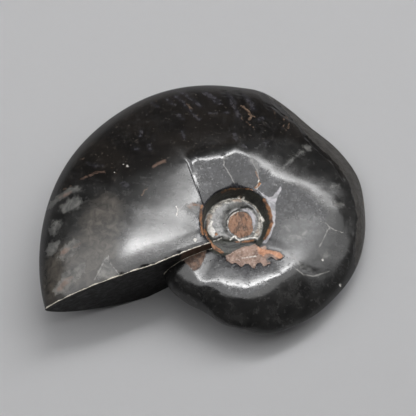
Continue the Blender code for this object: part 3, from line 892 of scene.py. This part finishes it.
def stone_material():
    g = material_graph("polished_black_stone")
    tone = g.toned

    def mark(name, ragged, wavelength, soft=0.06, shift=0):
        """Share of a mark: its depth in mm, made ragged by noise, cut at the outline."""
        torn = g.part(g.centred(g.noise(wavelength, 4, 0.65)), 2 * ragged)
        depth = g.math("ADD", g.math("ADD", g.attribute(name), torn), shift)
        return g.step(depth, -soft, soft)

    def coat(share, over, amount=None):
        """Lays a colour over the stone by a share, or by this amount of the share."""
        nonlocal stone
        stone = g.mix(share if amount is None else g.part(share, amount), stone, over)

    broad = g.noise(9, 3, 0.5)
    cloudy = g.noise(3.2, 5, 0.6, 0.4, (0.11, 0, 0))
    blotch = g.noise(1.8, 5, 0.65, 0.6, (0.4, 0.3, 0.2))
    mottle = g.noise(1.1, 4, 0.6, 0, (0, 0.23, 0))
    speck = g.noise(0.6, 3, 0.6, 0, (0.6, 0, 0.5))
    grain = g.noise(0.35, 3, 0.6, 0, (0, 0, 0.37))
    pit = g.step(g.attribute("pit"), 0.4, 0.9)
    band = mark("band", 2.2, 6, 1.6)
    facet = mark("facet", 0.5, 3, 0.6)

    # The stone itself: near black, with faint gray clouds, and paler and speckled on the facets
    stone = tone(cloudy, 0.3, 0.72, 0.0055, (0.016, 0.0157, 0.0152))
    stone = tone(mottle, 0.54, 0.74, stone, (0.028, 0.0273, 0.0266))
    faced = tone(blotch, 0.32, 0.7, (0.005, 0.005, 0.006), (0.023, 0.023, 0.026))
    coat(facet, tone(speck, 0.53, 0.7, faced, (0.07, 0.07, 0.074), 0.55))
    stone = tone(grain, 0.58, 0.72, stone, 0.003, 0.6)
    film = mark("film", 1.8, 5, 2.4)
    filmed = tone(blotch, 0.34, 0.66, (0.009, 0.009, 0.0095), (0.048, 0.0485, 0.0485))
    coat(film, tone(grain, 0.54, 0.68, filmed, 0.016, 0.7), 0.55)
    veil = mark("veil", 2.6, 5, 2)
    coat(veil, tone(blotch, 0.3, 0.7, (0.02, 0.018, 0.016), (0.078, 0.069, 0.059)), 0.8)

    # The outer band, brown-black, with branching lines of the old chamber walls
    brown = tone(broad, 0.36, 0.66, (0.0042, 0.0038, 0.0035), (0.0082, 0.007, 0.006))
    brown = tone(blotch, 0.54, 0.72, brown, (0.02, 0.0175, 0.0155), 0.8)
    coat(band, tone(speck, 0.62, 0.72, brown, (0.052, 0.044, 0.038), 0.7))
    middle = g.math("ABSOLUTE", g.centred(g.noise(5.5, 6, 0.72, 1.2, (0.5, 0.1, 0.2))))
    patchy = g.step(g.noise(13, 2, moved=(0.3, 0.9, 0.4)), 0.45, 0.62)
    coat(g.part(g.step(middle, 0, 0.022, 1, 0), patchy), (0.034, 0.033, 0.034), 0.35)
    stroke = tone(mottle, 0.35, 0.65, (0.012, 0.012, 0.014), (0.05, 0.048, 0.056))
    coat(mark("stroke", 0.9, 1.1, 0.45), stroke, 0.5)

    # The unpolished rim band, and the dark pits along its edge
    worn = mark("worn", 1.1, 1.6, 0.2)
    rubbed = tone(mottle, 0.35, 0.65, (0.012, 0.0105, 0.009), (0.03, 0.027, 0.023))
    coat(worn, tone(grain, 0.56, 0.7, rubbed, (0.005, 0.004, 0.0035), 0.8), 0.9)
    coat(mark("dark", 0.6, 1.2, 0.2), (0.0035, 0.003, 0.003), 0.85)

    # The umbilicus: gray inner whorls, green-black wall, and painted shade in the hollow outside the crest
    inner = tone(mottle, 0.36, 0.62, (0.012, 0.012, 0.011), (0.095, 0.094, 0.092))
    coat(pit, tone(speck, 0.5, 0.66, inner, (0.155, 0.152, 0.14), 0.65))
    shaded_hollow = g.step(g.attribute("shaded_hollow"), -0.1, 0.35)
    coat(shaded_hollow, tone(mottle, 0.4, 0.7, (0.008, 0.009, 0.007), (0.028, 0.029, 0.022)))

    # Earth left in the hollows, and the brown core with its fine upright lines
    matrix = mark("matrix", 0.35, 0.7, 0.2)
    earth = tone(mottle, 0.35, 0.65, (0.04, 0.021, 0.014), (0.14, 0.078, 0.05))
    coat(matrix, tone(grain, 0.56, 0.68, earth, (0.16, 0.12, 0.09), 0.7))
    core = mark("core", 0.2, 0.8, 0.12)
    upright = g.noise(0.7, 4, 0.65, 0.5, drawn=(1, 0.35, 1))
    cored = tone(upright, 0.36, 0.58, (0.048, 0.024, 0.014), (0.19, 0.098, 0.056))
    coat(core, tone(speck, 0.54, 0.68, cored, (0.25, 0.165, 0.12), 0.5))

    # Speckled crest of the inner whorls
    speckle = mark("speckle", 0.55, 0.8, 0.12)
    speckled = tone(speck, 0.4, 0.6, (0.06, 0.056, 0.048), (0.36, 0.345, 0.31))
    coat(speckle, tone(blotch, 0.52, 0.64, speckled, (0.23, 0.165, 0.12), 0.8), 0.9)

    # Pale haze, lilac calcite, and thin pale lines
    haze = mark("haze", 1.2, 1.3, 0.6)
    coat(haze, tone(blotch, 0.35, 0.68, (0.05, 0.05, 0.049), (0.2, 0.197, 0.185)), 0.55)
    coat(mark("blush", 0.6, 1, 0.3), g.mix(mottle, (0.1, 0.06, 0.045), (0.24, 0.155, 0.12)), 0.55)
    lilac = mark("lilac", 0.35, 1, 0.15)
    coat(lilac, tone(blotch, 0.35, 0.65, (0.11, 0.108, 0.118), (0.29, 0.28, 0.295)))
    beside = g.math("ABSOLUTE", g.math("ADD", g.attribute("thin"), g.step(mottle, 0.3, 0.7, -0.08, 0.08)))
    thin = g.part(g.step(beside, 0.08, 0.2, 1, 0), g.step(g.attribute("thin_near"), 0, 0.12))
    coat(g.part(thin, g.step(blotch, 0.3, 0.52)), (0.24, 0.233, 0.22), 0.5)

    # Rust: thin deposits along the rim of the umbilicus, and the wide pinkish patch below it
    rust = mark("rust", 0.38, 0.8, 0.1)
    rim_rust = tone(mottle, 0.35, 0.6, (0.05, 0.022, 0.011), (0.23, 0.105, 0.045))
    rusty = tone(blotch, 0.36, 0.62, (0.105, 0.064, 0.048), (0.235, 0.158, 0.125))
    rusty = tone(speck, 0.5, 0.66, rusty, (0.36, 0.29, 0.245), 0.5)
    rusty = tone(grain, 0.57, 0.69, rusty, (0.075, 0.042, 0.028), 0.8)
    orange = tone(mottle, 0.36, 0.62, (0.22, 0.078, 0.03), (0.46, 0.235, 0.135))
    rusty = g.mix(g.part(mark("rust_bright", 0.6, 1, 0.2), 0.85), rusty, orange)
    rusty = g.mix(g.part(mark("rust_hole", 0.35, 0.8, 0.15), 0.85), rusty, (0.06, 0.058, 0.055))
    coat(rust, tone(g.attribute("rust_patch"), -0.35, 0.05, rim_rust, rusty))
    calcite = mark("calcite", 0.25, 0.7, 0.1)
    coat(calcite, tone(mottle, 0.3, 0.65, (0.24, 0.225, 0.21), (0.56, 0.54, 0.5)))
    tan = tone(speck, 0.4, 0.62, (0.045, 0.03, 0.022), (0.18, 0.125, 0.092))
    coat(mark("fleck", 0.75, 0.9, 0.14, -0.22), tan, 0.65)

    # Scattered flecks of calcite and rust, everywhere
    flecks = g.step(g.noise(1.7, 2, 0.5, 0, (0.7, 0.2, 0.6)), 0.765, 0.785)
    kind = g.noise(6, 1, moved=(0.2, 0.7, 0.1))
    coat(flecks, tone(kind, 0.5, 0.54, (0.22, 0.21, 0.19), (0.16, 0.085, 0.045)))

    # Dark seams, painted near black as joints and as the shade in their gaps; the chipped edge of the cut
    coat(mark("seam", 0.1, 0.6, 0.12), (0.005, 0.005, 0.004))
    chip_noise = g.part(g.centred(g.noise(1.6, 4, 0.7)), 0.9)
    chips = g.step(g.math("ADD", g.attribute("chip"), chip_noise), -0.22, -0.12)
    coat(chips, tone(grain, 0.4, 0.6, (0.22, 0.2, 0.165), (0.52, 0.48, 0.41)))

    # How rough the polish is, from the plain stone to the unpolished marks
    soft_marks = g.most(rust, core, matrix, chips)
    gloss = g.blend(g.step(cloudy, 0.4, 0.7), 0.15, 0.21)
    gloss = g.blend(facet, gloss, g.step(blotch, 0.35, 0.65, 0.105, 0.145))
    keel = g.step(g.attribute("keel"), -5, -1)
    steps = (film, 0.3), (veil, 0.2), (keel, 0.26), (worn, 0.32), (pit, 0.34), (shaded_hollow, 0.45)
    for share, roughness in (*steps, (g.most(haze, lilac, calcite, speckle), 0.38), (soft_marks, 0.62)):
        gloss = g.blend(share, gloss, roughness)

    rough = g.most(worn, shaded_hollow, soft_marks, speckle)
    fine = g.part(g.centred(grain), g.blend(rough, 0.006, 0.12))
    coarse = g.part(g.centred(mottle), g.blend(rough, 0.01, 0.2))
    pocks = g.part(g.step(g.noise(0.9, 3, 0.6, 0, (0.1, 0.8, 0.3)), 0.6, 0.7), facet)
    relief = g.math("ADD", g.math("ADD", fine, coarse), g.part(g.part(upright, core), 0.35))
    relief = g.math("SUBTRACT", relief, g.math("ADD", g.part(flecks, 0.03), g.part(pocks, 0.02)))
    return g.surface({"Base Color": stone, "Roughness": gloss, "Normal": g.relief(relief), "IOR": 1.5})


def cut_material():
    """The sawn face across the whorl: matt, darker in painted shade, with faint saw marks and earth at the
    inner end.
    """
    g = material_graph("sawn_stone_painted_shade")
    mottle = g.noise(1.3, 4, 0.6)
    grain = g.noise(0.3, 3, 0.6, 0, (0.2, 0, 0))
    scratch = g.noise(0.7, 2, 0.5, drawn=(0.25, 0.25, 1))
    # Painted shade: the sawn stone is darker than the polished stone, and its specular level low, as the face
    # lies in shadow
    stone = g.toned(mottle, 0.35, 0.7, (0.003, 0.0029, 0.0028), (0.012, 0.0113, 0.0105))
    stone = g.mix(g.step(scratch, 0.62, 0.76, 0, 0.6), stone, (0.034, 0.032, 0.029))
    torn = g.part(g.centred(g.noise(0.8, 4, 0.65)), 0.8)
    earth = g.mix(mottle, (0.045, 0.026, 0.017), (0.13, 0.078, 0.053))
    stone = g.toned(g.math("ADD", g.attribute("matrix"), torn), -0.2, 0.3, stone, earth)
    relief = g.math("ADD", g.part(grain, 0.05), g.part(g.math("ADD", mottle, scratch), 0.07))
    inputs = {"Base Color": stone, "Roughness": g.step(mottle, 0.3, 0.7, 0.45, 0.75)}
    return g.surface(inputs | {"Normal": g.relief(relief), "Specular IOR Level": 0.2})


# ---- floor, lights and camera


def add_floor():
    mesh = bpy.data.meshes.new("floor")
    side = FLOOR_SIDE / 2
    corners = [(-side, -side, 0), (side, -side, 0), (side, side, 0), (-side, side, 0)]
    mesh.from_pydata(corners, [], [(0, 1, 2, 3)])
    inputs = {"Base Color": colour((0.28, 0.28, 0.285)), "Roughness": 0.9, "Specular IOR Level": 0.15}
    mesh.materials.append(material_graph("pale_floor").surface(inputs))
    floor = add_object("floor", mesh)


# Name, place and size in plan (m), turn, radiance in the middle, and how fast it fades
SOFTBOXES = (
    ("window", (0.729, 0.706), (1.67, 0.16), 23, 13, (-2, 6.75)),
    ("window_end", (-0.141, 0.3367), (0.22, 0.16), 23, 10.5, (-10.1, 3.3)),
    ("window_glow", (0.248, 0.827), (0.92, 0.5), 23, 1.13, (-4.3, 6.8)),
    ("ceiling_right", (0.529, 0.27), (1.4, 0.52), 23, 2.8, (0, 0)),
    ("ceiling_far_right", (1.55, 0.25), (1.3, 1.05), -20, 2.2, (0, 0)),
    ("ceiling_left", (-0.74, 0.02), (1.36, 0.74), 0, 2.9, (0, 0)),
    ("ceiling_left_glow", (-0.74, 0.67), (1.36, 0.56), 0, 0.9, (0, 4)),
)
SOFTBOX_HEIGHT = 1  # m


def add_softbox(name, place, size, turn, radiance, fade):
    """A softbox facing down. Its radiance falls by e for each 1 / fade metres."""
    light = bpy.data.lights.new(name, "AREA")
    light.shape = "RECTANGLE"
    light.size, light.size_y = size
    light.energy = radiance * math.pi * size[0] * size[1]
    g = Graph(light)
    place = (*place, SOFTBOX_HEIGHT)
    apart = g.vector("SUBTRACT", place, g.node("NewGeometry").outputs["Position"])
    power = g.math("EXPONENT", g.vector("DOT_PRODUCT", apart, (*fade, 0)))
    g.feed(g.tree.nodes["Emission"].inputs["Strength"], power)
    lamp = add_object(name, light)
    lamp.location = place
    lamp.rotation_euler = (0, 0, math.radians(turn))


def add_lights():
    for softbox in SOFTBOXES:
        add_softbox(*softbox)
    world = bpy.data.worlds.new("room")
    world.use_nodes = True
    background = world.node_tree.nodes["Background"]
    background.inputs["Color"].default_value = (1, 1, 1, 1)
    background.inputs["Strength"].default_value = 0.05
    bpy.context.scene.world = world
    bpy.context.scene.view_settings.view_transform = "Standard"


FLOOR_SIDE = 6  # m
CAMERA_AZIMUTH = 0.14
CAMERA_ELEVATION = 71.3
CAMERA_ROLL = 0.42
CAMERA_DISTANCE = 0.414  # m
PIXEL_SIZE = 0.0002188  # m on the object for each pixel
PICTURE_SIDE = 416  # pixels
POLE_PIXEL = (241, 233.5)  # where the shell's pole at the median plane shows in the picture
POLE_PLACE = (0.0079559, -0.0062405, 0.0076384)  # the same place in the row frame


def add_camera():
    azimuth = math.radians(CAMERA_AZIMUTH)
    elevation = math.radians(CAMERA_ELEVATION)
    flat = math.cos(elevation)
    towards = Vector((-math.sin(azimuth) * flat, -math.cos(azimuth) * flat, math.sin(elevation)))
    roll = Quaternion(towards, math.radians(CAMERA_ROLL))
    right = roll @ Vector((math.cos(azimuth), -math.sin(azimuth), 0))
    up = towards.cross(right)
    aside, below = [(pixel - PICTURE_SIDE / 2) * PIXEL_SIZE for pixel in POLE_PIXEL]
    aim = Vector(POLE_PLACE) - right * aside + up * below
    data = bpy.data.cameras.new("camera")
    data.sensor_width = 36
    data.lens = CAMERA_DISTANCE / PIXEL_SIZE * data.sensor_width / PICTURE_SIDE
    camera = add_object("camera", data)
    camera.rotation_mode = "QUATERNION"
    camera.location = aim + towards * CAMERA_DISTANCE
    camera.rotation_quaternion = roll @ (-towards).to_track_quat("-Z", "Y")
    bpy.context.scene.camera = camera


shell = build_shell()
for material in (stone_material(), cut_material()):
    shell.data.materials.append(material)
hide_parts("ammonite")
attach(shell, "root")
add_floor()
add_lights()
add_camera()

bpy.context.view_layer.update()
